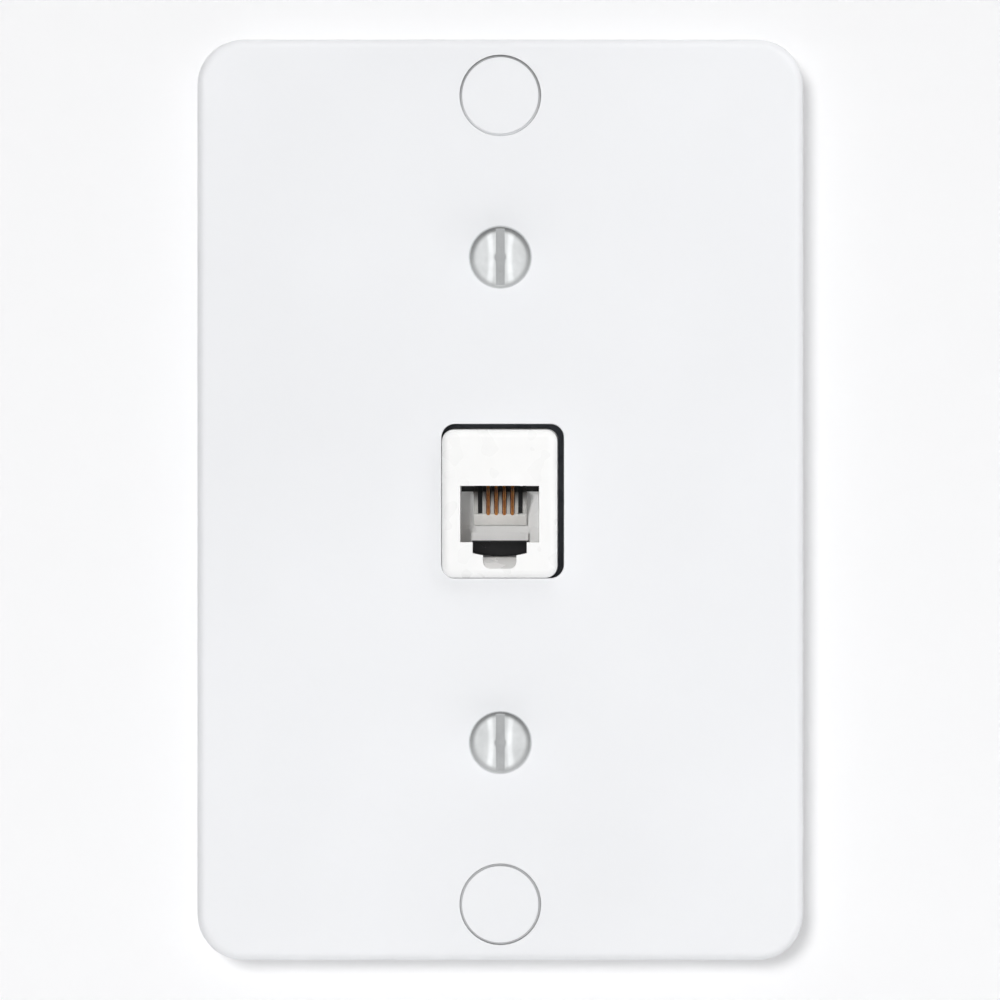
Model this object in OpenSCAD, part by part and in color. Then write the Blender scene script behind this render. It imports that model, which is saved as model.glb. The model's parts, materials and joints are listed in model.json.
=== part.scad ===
// Flush wall telephone socket: a moulded faceplate on a steel bracket, two studs
// that a wall telephone hangs on, and one modular socket with four contact wires.
//
// Millimetres. X runs right and Z up as seen from the room, the front faces -Y,
// and the wall's surface is the plane Y = 0. The origin is the middle of the
// bracket. Pieces are drawn lying down, with X right, Y up the wall and Z out of
// the wall, and on_wall() stands them up.

/* [Faceplate] */
// Width of the faceplate
plate_w = 76.2; // [70:0.1:90]
// Height of the faceplate
plate_h = 115.8; // [114:0.1:130]
// How far the faceplate stands out from the wall
plate_depth = 6.4; // [5.8:0.1:8]
// Thickness of the faceplate's front
plate_front_t = 2.2; // [1.8:0.1:2.6]
// Thickness of the faceplate's sides
plate_side_t = 2; // [1.6:0.1:2.6]
// Radius of the faceplate's four corners
plate_corner_r = 5.8; // [4:0.1:9]
// Radius of the rolled front edge
plate_edge_r = 1.2; // [0.6:0.1:1.8]
// Radius inside the rolled edge
plate_inner_edge_r = 0.8; // [0.3:0.1:1.2]
// Gap between the socket and the sides of its window, taken together
window_side_gap = 0.9; // [0.8:0.05:1.6]
// Gap between the socket and the ends of its window, taken together
window_end_gap = 0.8; // [0.7:0.05:1.6]
// How far the window's middle lies to the right of the socket's
window_shift = 0.3; // [-0.3:0.05:0.3]
// How far the window's middle lies above the socket's
window_rise = 0.25; // [-0.25:0.05:0.25]
// Radius of the window's corners
window_corner_r = 1.7; // [0.8:0.1:2.4]
// Thickness of the ribs and of the wall round the window
rib_t = 1.2; // [0.8:0.1:1.6]
// How far the long ribs stand clear of the bracket's lips
rib_gap = 1.4; // [0.6:0.1:3]
// Diameter of the posts round the stud holes
stud_post_d = 10; // [8.5:0.1:12]

/* [Screw caps] */
// Distance between the two wall screws
wall_screw_spacing = 101.6; // [98:0.1:102]
// Diameter of a cap
cap_d = 9.6; // [9:0.1:11]
// Thickness of a cap's disc
cap_t = 1.2; // [0.9:0.1:1.4]
// Gap between a cap and the edge of its hole
cap_gap = 0.3; // [0.15:0.05:0.4]
// Depth of the groove round a cap, down to the cap's flange
cap_groove = 0.45; // [0.3:0.05:0.6]
// Clearance round a cap's flange
cap_flange_gap = 0.05; // [0.03:0.01:0.1]
// Width of the ledge that a cap rests on
cap_ledge = 0.95; // [0.6:0.05:1.2]
// Thickness of the ledge that a cap snaps behind
cap_ledge_t = 1; // [0.8:0.1:1.1]
// Length of a cap's spring legs
cap_leg_length = 2.4; // [2.1:0.1:2.6]
// Clearance between the legs and the ledge
cap_leg_gap = 0.1; // [0.05:0.05:0.2]
// Thickness of a cap's spring legs
cap_leg_t = 0.9; // [0.7:0.1:1.2]
// How far the legs' snap bead stands out
cap_bead = 0.25; // [0.1:0.05:0.3]
// Width of the slots between the legs
cap_leg_slot = 1.6; // [1:0.1:2.4]

/* [Bracket] */
// Thickness of the bracket's sheet steel
bracket_t = 1.2; // [1:0.1:1.5]
// Width of the bracket over its lips
bracket_w = 50; // [46:0.5:56]
// Radius of the wide middle's corners
bracket_corner_r = 2; // [1:0.1:3]
// Height of the bracket's wide middle
bracket_body_h = 92; // [88:0.5:94]
// Height of the bracket over its tongues
bracket_h = 110; // [109:0.1:111]
// Radius of the tongues' corners
tongue_corner_r = 4; // [2:0.1:8]
// Width of the tongues
tongue_w = 24; // [18:0.5:30]
// Height of the stiffening lips
lip_h = 2.4; // [2:0.1:2.6]
// Inside radius of the lips' bend
lip_bend_r = 0.8; // [0.5:0.1:0.9]
// Length of the lips
lip_length = 78; // [60:1:82]
// Gap between the bracket's window and the socket
bracket_window_gap = 0.15; // [0.1:0.05:0.3]
// Diameter of the wall screws' holes
wall_hole_d = 4.6; // [4:0.1:5.5]
// Distance between the box screws' holes
box_screw_spacing = 83.3; // [82:0.1:85]
// Diameter of the box screws' holes
box_hole_d = 4.2; // [3.8:0.1:4.8]

/* [Hanging studs] */
// Distance between the studs
stud_spacing = 60.7; // [58:0.1:63]
// Diameter of a stud's head
stud_head_d = 7.9; // [7.4:0.1:8.6]
// Height of the domed part of the head
stud_dome_h = 1.5; // [1:0.1:2]
// Height of the head's straight rim
stud_rim_h = 0.8; // [0.5:0.1:1.2]
// Radius of the rounded edge between the rim and the dome
stud_edge_r = 0.4; // [0.2:0.05:0.5]
// Diameter of the neck that the telephone slides over
stud_neck_d = 4.8; // [4.2:0.1:5.4]
// Length of the neck
stud_neck_length = 2.4; // [2.2:0.1:4]
// Diameter of the collar that clamps the faceplate
stud_collar_d = 7; // [6.2:0.1:7.4]
// Thickness of the collar
stud_collar_t = 0.4; // [0.3:0.1:1]
// Diameter of the threaded shank
stud_shank_d = 4; // [3.5:0.1:4.2]
// How far the shank stands out behind the bracket's burred hole
stud_shank_end = 1; // [0.5:0.1:2]
// Width of the screwdriver slot
stud_slot_w = 1.1; // [0.8:0.1:1.4]
// Depth of the screwdriver slot
stud_slot_depth = 1.3; // [0.8:0.1:1.6]
// Clearance round the shank in the faceplate
stud_hole_gap = 0.3; // [0.2:0.05:0.5]
// Length of the burred collar round the tapped hole
burr_length = 1.2; // [0.8:0.1:1.5]
// Thickness of the burred collar's wall
burr_t = 1; // [0.8:0.1:1.4]

/* [Socket body] */
// Width of the socket's face
jack_w = 14.5; // [14:0.1:15]
// Height of the socket's face
jack_h = 18.6; // [18.2:0.1:20]
// How far the socket's middle lies below the plate's
jack_drop = 0.4; // [0:0.1:1]
// How far the socket stands out of the faceplate
jack_proud = 1.8; // [1.4:0.1:2.4]
// How far the socket reaches into the wall box
jack_tail = 9; // [8.8:0.1:11]
// Radius of the face's corners
jack_corner_r = 1.5; // [1.2:0.1:2]
// Radius of the face's edge
jack_edge_r = 1.1; // [0.5:0.1:1.1]
// Radius of the shoulder's corners
shoulder_corner_r = 2; // [1:0.1:3]
// How far the shoulder stands out behind the bracket
shoulder_w = 2.5; // [1.5:0.1:3]
// Thickness of the shoulder
shoulder_t = 1.6; // [1.2:0.1:2]
// Width of the plug's opening
socket_w = 9.9; // [9.7:0.05:10.2]
// Height of the plug's opening
socket_h = 7.1; // [6.8:0.05:7.2]
// Depth of the plug's opening
socket_depth = 10.2; // [10:0.1:10.6]
// Height of the opening's sill above the face's lower edge
socket_sill = 4.45; // [4.1:0.05:4.8]
// Thickness of the wall behind the plug
socket_back_t = 1.2; // [1:0.1:1.5]
// How far the plug's lower stop stands out of that wall
stop_t = 1.6; // [0.8:0.1:2]
// Height of the plug's lower stop
stop_h = 1.2; // [0.9:0.05:1.3]
// How far the stop laps over the sill on each side of the latch's notch
stop_lap = 0.2; // [0.1:0.05:0.4]
// Width of the latch's notch in the sill
latch_w = 6.8; // [6.4:0.1:7.4]
// Height of the latch's notch
latch_h = 1.8; // [1.6:0.1:2]
// How far the notch's lower edge bows down in the middle
latch_bow = 0.45; // [0.2:0.05:0.6]
// Thickness of the wall that closes the notch at the back
latch_back_t = 1.4; // [1:0.1:2]
// Width of the keyway below the notch
key_w = 4.2; // [3.2:0.1:4.6]
// Height of the keyway at the face
key_h = 1.5; // [1.2:0.1:1.6]
// Radius of the keyway's lower corners
key_corner_r = 0.9; // [0.4:0.1:1.2]
// Depth over which the keyway's ramp runs out
key_ramp = 4.5; // [3:0.1:6]
// Thickness of the walls round the wire chamber
chamber_wall_t = 1.2; // [1:0.1:1.5]

/* [Contacts] */
// Number of positions in the comb
comb_positions = 6; // [4:1:6]
// Distance between neighbouring contacts
contact_pitch = 1.02; // [1:0.01:1.06]
// Diameter of a contact wire
contact_wire_d = 0.46; // [0.4:0.01:0.5]
// Height of the wires' run above the socket's roof
contact_run = 1.05; // [0.95:0.05:1.15]
// Radius of the bend at the mouth
contact_bend_r = 0.7; // [0.6:0.05:0.8]
// Angle at which the wires slope back into the socket
contact_slope = 26; // [22:1:28]
// How far the wires' free ends come down below the roof
contact_drop = 3.6; // [3:0.05:3.7]
// How far the bends stay behind the socket's face
contact_setback = 2.2; // [2:0.1:3]
// Height between the two rows that the wires fan out to
contact_row_rise = 2.2; // [2:0.1:2.4]
// Length of wire between the comb and the fan
contact_fan_start = 0.4; // [0.2:0.1:0.8]
// Bend radius of the fan
contact_fan_r = 0.8; // [0.6:0.1:1]
// Width of the comb's slots
comb_slot_w = 0.56; // [0.52:0.01:0.62]
// Thickness of the face in front of the comb
comb_cover_t = 1; // [0.8:0.1:1.1]
// Height of the comb's block above the socket's roof
comb_block_h = 2.6; // [2.4:0.1:3]
// How far the comb's block reaches behind the socket's back wall
comb_tail = 0.5; // [0.2:0.1:0.8]
// Height of the bar that joins the comb's fins at their foot
comb_foot_h = 1.4; // [1:0.05:1.6]
// Thickness of that bar
comb_foot_t = 1.5; // [1:0.1:1.6]
// Clearance round the comb
comb_gap = 0.05; // [0.02:0.01:0.1]

/* [Terminals] */
// Width of the terminal base
base_w = 46; // [44:0.5:48]
// Height of the terminal base
base_h = 42; // [40:0.5:46]
// Thickness of the terminal base's floor
base_t = 3; // [2.6:0.1:4]
// Radius of the terminal base's corners
base_corner_r = 3; // [2:0.1:5]
// Thickness of the tower round the socket
tower_t = 1.8; // [1.4:0.1:2.4]
// Height of the tower behind the floor
tower_h = 4; // [2:0.1:5]
// Gap between the tower and the socket
tower_gap = 0.15; // [0.1:0.05:0.3]
// Distance between the terminals across the base
terminal_spacing_x = 34; // [33:0.5:35]
// Distance between the terminals up the base
terminal_spacing_y = 30; // [29:0.5:32]
// Diameter of the terminal posts
post_d = 8.4; // [8:0.1:9]
// Diameter of the terminal screws' heads
screw_head_d = 6.4; // [6:0.1:7]
// Height of the screws' heads
screw_head_h = 2; // [1.6:0.1:2.4]
// Diameter of the terminal screws' shanks
screw_shank_d = 3.4; // [3:0.1:3.6]
// How deep the terminal screws reach into their posts
screw_reach = 5; // [4:0.1:5.4]
// Clearance of a screw in its bore
screw_gap = 0.1; // [0.05:0.05:0.2]
// Width of the screws' slots
screw_slot_w = 1; // [0.8:0.1:1.2]
// Radius of the rounded edge of the screws' heads
screw_edge_r = 0.3; // [0.1:0.05:0.5]
// Depth of the screws' slots
screw_slot_depth = 0.9; // [0.6:0.1:1.2]
// Diameter of the clamp washers
washer_d = 7.6; // [7:0.1:8]
// Thickness of the clamp washers
washer_t = 0.8; // [0.6:0.1:1]
// Diameter of the base screws' heads
base_screw_head_d = 5.6; // [5:0.1:6]
// Height of the base screws' heads
base_screw_head_h = 1.4; // [1:0.1:1.6]
// Diameter of the base screws' shanks
base_screw_d = 2.9; // [2.5:0.1:3.2]
// Distance between the base screws
base_screw_spacing = 34; // [30:0.5:36]
// Depth of the base screws' bosses behind the floor
base_boss_h = 4; // [3:0.1:5]
// Diameter of the base screws' bosses
base_boss_d = 6.6; // [6:0.1:7.4]

/* [Leads] */
// Diameter of a lead over its insulation
lead_d = 1.5; // [1.3:0.05:1.6]
// How deep the leads reach into the socket's wire chamber
lead_inset = 2.5; // [1.5:0.1:3]
// Gap between the socket's tail and the leads that cross behind it
lead_clear = 1; // [0.6:0.1:2]
// Bend radius of the leads behind the socket
lead_bend_r = 2.2; // [1.8:0.1:3]
// Thickness of the spade lugs
lug_t = 0.6; // [0.5:0.1:0.8]
// Width of the spade lugs
lug_w = 6.2; // [5.8:0.1:6.6]
// Length of a lug's tines past its screw
lug_tine = 3.2; // [2.6:0.1:3.6]
// Distance from the screw to the lug's barrel
lug_neck = 4.6; // [4.2:0.1:5.2]
// Length of the lug's barrel
lug_barrel_length = 3.6; // [3:0.1:4.4]
// Wall of the lug's barrel
lug_barrel_t = 0.45; // [0.35:0.05:0.6]
// Clearance between a lead and its barrel
lug_gap = 0.05; // [0.03:0.01:0.1]

/* [Hidden] */
$fn = 64;
cut = 1; // how far a cutting shape runs past the face that it cuts

front = plate_depth;
plate_inside = plate_depth - plate_front_t;
jack_front = plate_depth + jack_proud;
jack_y = -jack_drop;
window_w = jack_w + window_side_gap;
window_h = jack_h + window_end_gap;
window_y = jack_y + window_rise;

lip_outer_r = lip_bend_r + bracket_t;
flat_w = bracket_w - 2 * lip_outer_r;

cap_hole_d = cap_d + 2 * cap_gap;
cap_neck_d = cap_hole_d - 2 * cap_ledge;
cap_leg_d = cap_neck_d - 2 * cap_leg_gap;
cap_flange_d = cap_hole_d - 2 * cap_flange_gap;
bead_r = 2 * cap_bead;
cap_wall_d = cap_hole_d + 2 * rib_t;

stud_hole_d = stud_shank_d + 2 * stud_hole_gap;
stud_seat = front + stud_collar_t;
stud_head_z = stud_seat + stud_neck_length;

sill_y = jack_y - jack_h / 2 + socket_sill;
roof_y = sill_y + socket_h;
socket_back = jack_front - socket_depth;
chamber_front = socket_back - socket_back_t;
chamber_top = jack_y + jack_h / 2 - chamber_wall_t;

run_y = roof_y + contact_run;
tip_y = roof_y - contact_drop;
bend_z = jack_front - contact_setback;
comb_front = jack_front - comb_cover_t;
comb_back = socket_back - comb_tail;
comb_slots_w = comb_positions * contact_pitch + comb_slot_w;
lead_start = lead_inset - jack_tail;

TERMINALS = [[-1, -1], [-1, 1], [1, -1], [1, 1]];
SLOT_TURNS = [30, 70, 110, 150];
LEAD_COLOURS = ["black", "red", "green", "gold"];
LEAD_NAMES = ["lead_black", "lead_red", "lead_green", "lead_yellow"];

barrel_r = lead_d / 2 + lug_gap + lug_barrel_t;
barrel_axis = jack_tail + lead_clear + lead_d / 2;
post_top = barrel_axis - barrel_r;
washer_base = post_top + lug_t;
head_base = washer_base + washer_t;

// Stands a piece that is drawn lying down up against the wall.
module on_wall() {
    rotate([90, 0, 0]) children();
}

// Draws with Z as the depth behind the wall's surface, X and Y as before.
module behind_wall() {
    on_wall() mirror([0, 0, 1]) children();
}

// Places a child at each of two points, up and down the wall.
module up_and_down(spacing) {
    for (side = [-1, 1]) {
        translate([0, side * spacing / 2, 0]) children();
    }
}

// Places a child at each of two points, left and right.
module left_and_right(spacing) {
    for (side = [-1, 1]) {
        translate([side * spacing / 2, 0, 0]) children();
    }
}

// A rectangle with rounded corners.
module rounded_rectangle(w, h, r) {
    square([w, h - 2 * r], center = true);
    square([w - 2 * r, h], center = true);
    for (x = [-1, 1], y = [-1, 1]) {
        translate([x * (w / 2 - r), y * (h / 2 - r)]) circle(r = r);
    }
}

// A slab with rounded corners, from Z = 0 up.
module rounded_slab(w, h, r, t) {
    linear_extrude(t) rounded_rectangle(w, h, r);
}

// The section of a rolled edge: X runs out to the edge, Y up to the front.
module rolled_section(w, edge_r, t) {
    square([w, t - edge_r]);
    square([w - edge_r, t]);
    intersection() {
        translate([w - edge_r, t - edge_r]) circle(r = edge_r);
        square([w, t]);
    }
}

// A slab with rounded corners whose top edge is rolled over all round.
module rolled_slab(w, h, corner_r, edge_r, t) {
    inner_w = w - 2 * corner_r;
    inner_h = h - 2 * corner_r;
    linear_extrude(t) square([inner_w, inner_h], center = true);
    for (turn = [0, 180]) {
        rotate([0, 0, turn]) {
            translate([inner_w / 2, inner_h / 2, 0]) rotate([90, 0, 0]) {
                linear_extrude(inner_h) rolled_section(corner_r, edge_r, t);
            }
            translate([-inner_w / 2, inner_h / 2, 0]) rotate([90, 0, 90]) {
                linear_extrude(inner_w) rolled_section(corner_r, edge_r, t);
            }
        }
    }
    for (corner = [[1, 1, 0], [-1, 1, 90], [-1, -1, 180], [1, -1, 270]]) {
        translate([corner[0] * inner_w / 2, corner[1] * inner_h / 2, 0]) {
            rotate([0, 0, corner[2]]) rotate_extrude(angle = 90) {
                rolled_section(corner_r, edge_r, t);
            }
        }
    }
}

// A round rod from the origin along X. Each step is a straight length, then a
// bend in the XY plane: its angle, positive to the left, and its radius.
module bent_rod(d, steps, i = 0) {
    run = steps[i][0];
    turn = steps[i][1];
    r = steps[i][2];
    side = sign(turn);
    rotate([0, 90, 0]) cylinder(d = d, h = run);
    if (i + 1 < len(steps)) {
        translate([run, side * r, 0]) {
            rotate([0, 0, side > 0 ? -90 : 90 + turn]) rotate_extrude(angle = abs(turn)) {
                translate([r, 0]) circle(d = d);
            }
            rotate([0, 0, turn]) translate([0, -side * r, 0]) bent_rod(d, steps, i + 1);
        }
    }
}

// A spherical cap of a given width and height, from Z = 0 up.
module dome(d, h) {
    r = (d * d / 4 + h * h) / (2 * h);
    intersection() {
        translate([0, 0, h - r]) sphere(r = r, $fn = 96);
        cylinder(d = d, h = h);
    }
}

// A slotted screw head, from Z = 0 up, with its rim rounded over to the dome.
module slotted_head(d, rim_h, edge_r, dome_h, slot_w, slot_depth) {
    difference() {
        union() {
            rotate_extrude() rolled_section(d / 2, edge_r, rim_h);
            translate([0, 0, rim_h]) dome(d - 2 * edge_r, dome_h);
        }
        translate([-slot_w / 2, -d / 2 - cut, rim_h + dome_h - slot_depth]) {
            cube([slot_w, d + 2 * cut, slot_depth + cut]);
        }
    }
}

module faceplate() {
    color("whitesmoke") on_wall() difference() {
        union() {
            difference() {
                rolled_slab(plate_w, plate_h, plate_corner_r, plate_edge_r, plate_depth);
                translate([0, 0, -cut]) {
                    rolled_slab(plate_w - 2 * plate_side_t, plate_h - 2 * plate_side_t,
                                plate_corner_r - plate_side_t, plate_inner_edge_r, plate_inside + cut);
                }
            }
            up_and_down(wall_screw_spacing) {
                translate([0, 0, front - cap_t - cap_ledge_t]) {
                    cylinder(d = cap_wall_d, h = cap_ledge_t + cap_t / 2);
                }
            }
            up_and_down(stud_spacing) {
                translate([0, 0, bracket_t]) {
                    cylinder(d = stud_post_d, h = plate_depth - bracket_t - plate_front_t / 2);
                }
            }
            translate([window_shift, window_y, plate_inside - rib_gap]) {
                rounded_slab(window_w + 2 * rib_t, window_h + 2 * rib_t, window_corner_r + rib_t,
                             rib_gap + plate_front_t / 2);
            }
            left_and_right(bracket_w + 2 * rib_gap + rib_t) {
                translate([-rib_t / 2, -lip_length / 2, bracket_t]) {
                    cube([rib_t, lip_length, plate_inside - bracket_t + plate_front_t / 2]);
                }
            }
            up_and_down(stud_spacing) {
                translate([-flat_w / 2 + rib_t, -rib_t / 2, plate_inside - rib_gap]) {
                    cube([flat_w - 2 * rib_t, rib_t, rib_gap + plate_front_t / 2]);
                }
            }
        }
        up_and_down(wall_screw_spacing) {
            translate([0, 0, -cut]) cylinder(d = cap_neck_d, h = front + 2 * cut);
            translate([0, 0, front - cap_t]) cylinder(d = cap_hole_d, h = cap_t + cut);
        }
        up_and_down(stud_spacing) {
            translate([0, 0, -cut]) cylinder(d = stud_hole_d, h = front + 2 * cut);
        }
        translate([window_shift, window_y, -cut]) {
            rounded_slab(window_w, window_h, window_corner_r, front + 2 * cut);
        }
    }
}

module screw_cap(side) {
    leg_base = front - cap_t - cap_leg_length;
    bead_z = front - cap_t - cap_ledge_t - bead_r;
    color("white") on_wall() translate([0, side * wall_screw_spacing / 2, 0]) {
        translate([0, 0, front - cap_t]) {
            cylinder(d = cap_d, h = cap_t);
            cylinder(d = cap_flange_d, h = cap_t - cap_groove);
        }
        difference() {
            union() {
                translate([0, 0, leg_base]) cylinder(d = cap_leg_d, h = cap_leg_length);
                translate([0, 0, bead_z]) rotate_extrude() {
                    translate([cap_leg_d / 2 + cap_bead - bead_r, 0]) circle(r = bead_r);
                }
            }
            translate([0, 0, leg_base - cut]) {
                cylinder(d = cap_leg_d - 2 * cap_leg_t, h = cap_leg_length + cut);
            }
            for (turn = [0, 90]) {
                rotate([0, 0, turn]) translate([-cap_leg_slot / 2, -cap_d / 2, leg_base - cut]) {
                    cube([cap_leg_slot, cap_d, cap_leg_length + cut]);
                }
            }
        }
    }
}

module bracket_lip() {
    translate([flat_w / 2, lip_length / 2, 0]) rotate([90, 0, 0]) linear_extrude(lip_length) {
        intersection() {
            translate([0, lip_outer_r]) difference() {
                circle(r = lip_outer_r);
                circle(r = lip_bend_r);
            }
            square(lip_outer_r);
        }
        translate([lip_bend_r, lip_outer_r]) square([bracket_t, lip_h - lip_bend_r]);
    }
}

module mounting_bracket() {
    burr_d = stud_shank_d + 2 * burr_t;
    color("silver") on_wall() difference() {
        union() {
            rounded_slab(flat_w, bracket_body_h, bracket_corner_r, bracket_t);
            rounded_slab(tongue_w, bracket_h, tongue_corner_r, bracket_t);
            bracket_lip();
            mirror([1, 0, 0]) bracket_lip();
            up_and_down(stud_spacing) {
                translate([0, 0, -burr_length]) cylinder(d = burr_d, h = burr_length + bracket_t / 2);
            }
        }
        up_and_down(wall_screw_spacing) {
            translate([0, 0, -cut]) cylinder(d = wall_hole_d, h = bracket_t + 2 * cut);
        }
        up_and_down(box_screw_spacing) {
            translate([0, 0, -cut]) cylinder(d = box_hole_d, h = bracket_t + 2 * cut);
        }
        up_and_down(stud_spacing) {
            translate([0, 0, -burr_length - cut]) {
                cylinder(d = stud_shank_d, h = burr_length + bracket_t + 2 * cut);
            }
        }
        left_and_right(base_screw_spacing) {
            translate([0, jack_y, -cut]) {
                cylinder(d = base_screw_d + 2 * screw_gap, h = bracket_t + 2 * cut);
            }
        }
        translate([0, jack_y, -cut]) {
            rounded_slab(jack_w + 2 * bracket_window_gap, jack_h + 2 * bracket_window_gap,
                         jack_corner_r + bracket_window_gap, bracket_t + 2 * cut);
        }
    }
}

module stud(side) {
    shank_base = -burr_length - stud_shank_end;
    color("lightgray") on_wall() translate([0, side * stud_spacing / 2, 0]) {
        translate([0, 0, shank_base]) cylinder(d = stud_shank_d, h = front - shank_base);
        translate([0, 0, front]) cylinder(d = stud_collar_d, h = stud_collar_t);
        translate([0, 0, stud_seat]) cylinder(d = stud_neck_d, h = stud_neck_length);
        translate([0, 0, stud_head_z]) {
            slotted_head(stud_head_d, stud_rim_h, stud_edge_r, stud_dome_h, stud_slot_w, stud_slot_depth);
        }
    }
}

// The latch's notch, which runs on under the plug's stop, with its bowed lower edge.
module latch_hollow() {
    bow_r = (latch_w * latch_w / 4 + latch_bow * latch_bow) / (2 * latch_bow);
    translate([0, 0, latch_back_t - jack_tail]) {
        linear_extrude(jack_front + jack_tail - latch_back_t + cut) intersection() {
            translate([-latch_w / 2, sill_y - latch_h]) square([latch_w, latch_h]);
            translate([0, sill_y - latch_h + bow_r]) circle(r = bow_r, $fn = 192);
        }
    }
}

// The keyway: a ramp that runs out on the notch's edge, with rounded lower corners.
module keyway() {
    key_low = sill_y - latch_h - key_h;
    key_end = key_ramp * (key_h + latch_bow) / key_h;
    intersection() {
        translate([key_w / 2, sill_y - latch_h, jack_front]) rotate([0, -90, 0]) {
            linear_extrude(key_w) {
                polygon([[cut, latch_bow], [-key_end, latch_bow], [0, -key_h], [cut, -key_h]]);
            }
        }
        translate([0, key_low, jack_front - key_end - cut]) linear_extrude(key_end + 2 * cut) {
            translate([-key_w / 2, key_corner_r]) square([key_w, key_h + latch_bow]);
            translate([-key_w / 2 + key_corner_r, 0]) square([key_w - 2 * key_corner_r, key_corner_r]);
            for (side = [-1, 1]) {
                translate([side * (key_w / 2 - key_corner_r), key_corner_r]) circle(r = key_corner_r);
            }
        }
    }
}

// The hollow that the plug goes into, down to the back wall and the plug's stop.
module socket_hollow() {
    difference() {
        translate([-socket_w / 2, sill_y, socket_back]) {
            cube([socket_w, socket_h, socket_depth + cut]);
        }
        translate([-latch_w / 2 - stop_lap, sill_y, socket_back - cut]) {
            cube([latch_w + 2 * stop_lap, stop_h, stop_t + cut]);
        }
    }
}

// The hollow that the comb slides into, and the wire chamber behind it.
module wire_hollow() {
    recess_w = comb_slots_w + 2 * comb_gap;
    translate([-recess_w / 2, roof_y - cut, chamber_front - cut]) {
        cube([recess_w, comb_block_h + comb_gap + cut, comb_front - chamber_front + cut]);
    }
    chamber_w = jack_w - 2 * chamber_wall_t;
    translate([-chamber_w / 2, roof_y, -jack_tail - cut]) {
        cube([chamber_w, chamber_top - roof_y, chamber_front + jack_tail + cut]);
    }
}

module jack_housing() {
    color("white") on_wall() {
        difference() {
            union() {
                translate([0, jack_y, -jack_tail]) {
                    rolled_slab(jack_w, jack_h, jack_corner_r, jack_edge_r, jack_tail + jack_front);
                }
                translate([0, jack_y, -shoulder_t]) {
                    rounded_slab(jack_w + 2 * shoulder_w, jack_h + 2 * shoulder_w,
                                 shoulder_corner_r, shoulder_t);
                }
            }
            socket_hollow();
            latch_hollow();
            keyway();
            wire_hollow();
        }
    }
}

module contact_comb() {
    block_top = roof_y + comb_block_h;
    fin_low = tip_y - comb_gap;
    foot_low = fin_low - comb_foot_h;
    fin_back = socket_back + comb_gap;
    fin_foot = fin_back + comb_foot_t;
    fin_root = bend_z - contact_bend_r;
    color("ghostwhite") on_wall() difference() {
        translate([comb_slots_w / 2, 0, 0]) rotate([0, -90, 0]) linear_extrude(comb_slots_w) {
            polygon([
                [comb_back, roof_y + comb_gap], [fin_back, roof_y + comb_gap], [fin_back, foot_low],
                [fin_foot, foot_low], [fin_foot, fin_low], [fin_root, roof_y], [comb_front, roof_y],
                [comb_front, block_top], [comb_back, block_top]
            ]);
        }
        for (i = [0 : comb_positions - 1]) {
            x = (i - (comb_positions - 1) / 2) * contact_pitch;
            translate([x - comb_slot_w / 2, fin_low, comb_back - cut]) {
                cube([comb_slot_w, run_y + contact_wire_d / 2 + comb_gap - fin_low,
                      comb_front - comb_back + 2 * cut]);
            }
        }
    }
}

// The wires alternate between two rows at the back, so that their leads fit side by side.
module contact_wire(i) {
    x = (i - 2.5) * contact_pitch;
    rise = i % 2 == 0 ? contact_row_rise : 0;
    turn = 180 - contact_slope;
    bend_end_y = run_y - contact_bend_r * (1 - cos(turn));
    slope_length = (bend_end_y - tip_y) / sin(contact_slope);
    whole = bend_z - lead_start;
    fan_z = comb_back - contact_fan_start;
    fan_line = (rise - 2 * contact_fan_r * (1 - cos(45))) / sin(45);
    fan_length = 2 * contact_fan_r * sin(45) + fan_line * cos(45);
    fan_tail = fan_z - fan_length - lead_start;
    straight = [[whole, turn, contact_bend_r], [slope_length, 0, 0]];
    fanned = [
        [fan_tail, 45, contact_fan_r], [fan_line, -45, contact_fan_r],
        [whole - fan_length - fan_tail, turn, contact_bend_r], [slope_length, 0, 0]
    ];
    color("goldenrod") on_wall() translate([x, run_y + rise, lead_start]) rotate([180, -90, 0]) {
        bent_rod(contact_wire_d, rise > 0 ? fanned : straight, $fn = 32);
    }
}

// Where the middle of terminal i lies on the wall.
function terminal_x(i) = TERMINALS[i][0] * terminal_spacing_x / 2;
function terminal_y(i) = jack_y + TERMINALS[i][1] * terminal_spacing_y / 2;

module terminal_base() {
    tower_w = jack_w + 2 * tower_gap;
    tower_inner_h = jack_h + 2 * tower_gap;
    recess_w = jack_w + 2 * shoulder_w + 2 * tower_gap;
    recess_h = jack_h + 2 * shoulder_w + 2 * tower_gap;
    color("gainsboro") behind_wall() difference() {
        union() {
            translate([0, jack_y, 0]) rounded_slab(base_w, base_h, base_corner_r, base_t);
            translate([0, jack_y, 0]) {
                rounded_slab(tower_w + 2 * tower_t, tower_inner_h + 2 * tower_t,
                             jack_corner_r + tower_t, base_t + tower_h);
            }
            for (i = [0 : 3]) {
                translate([terminal_x(i), terminal_y(i), 0]) cylinder(d = post_d, h = post_top);
            }
            left_and_right(base_screw_spacing) {
                translate([0, jack_y, 0]) cylinder(d = base_boss_d, h = base_t + base_boss_h);
            }
        }
        translate([0, jack_y, -cut]) {
            rounded_slab(tower_w, tower_inner_h, jack_corner_r + tower_gap, base_t + tower_h + 2 * cut);
            rounded_slab(recess_w, recess_h, shoulder_corner_r + tower_gap, shoulder_t + cut);
        }
        for (i = [0 : 3]) {
            translate([terminal_x(i), terminal_y(i), post_top - screw_reach]) {
                cylinder(d = screw_shank_d + 2 * screw_gap, h = screw_reach + cut);
            }
        }
        left_and_right(base_screw_spacing) {
            translate([0, jack_y, -cut]) {
                cylinder(d = base_screw_d + 2 * screw_gap, h = base_t + base_boss_h + 2 * cut);
            }
        }
    }
}

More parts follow.
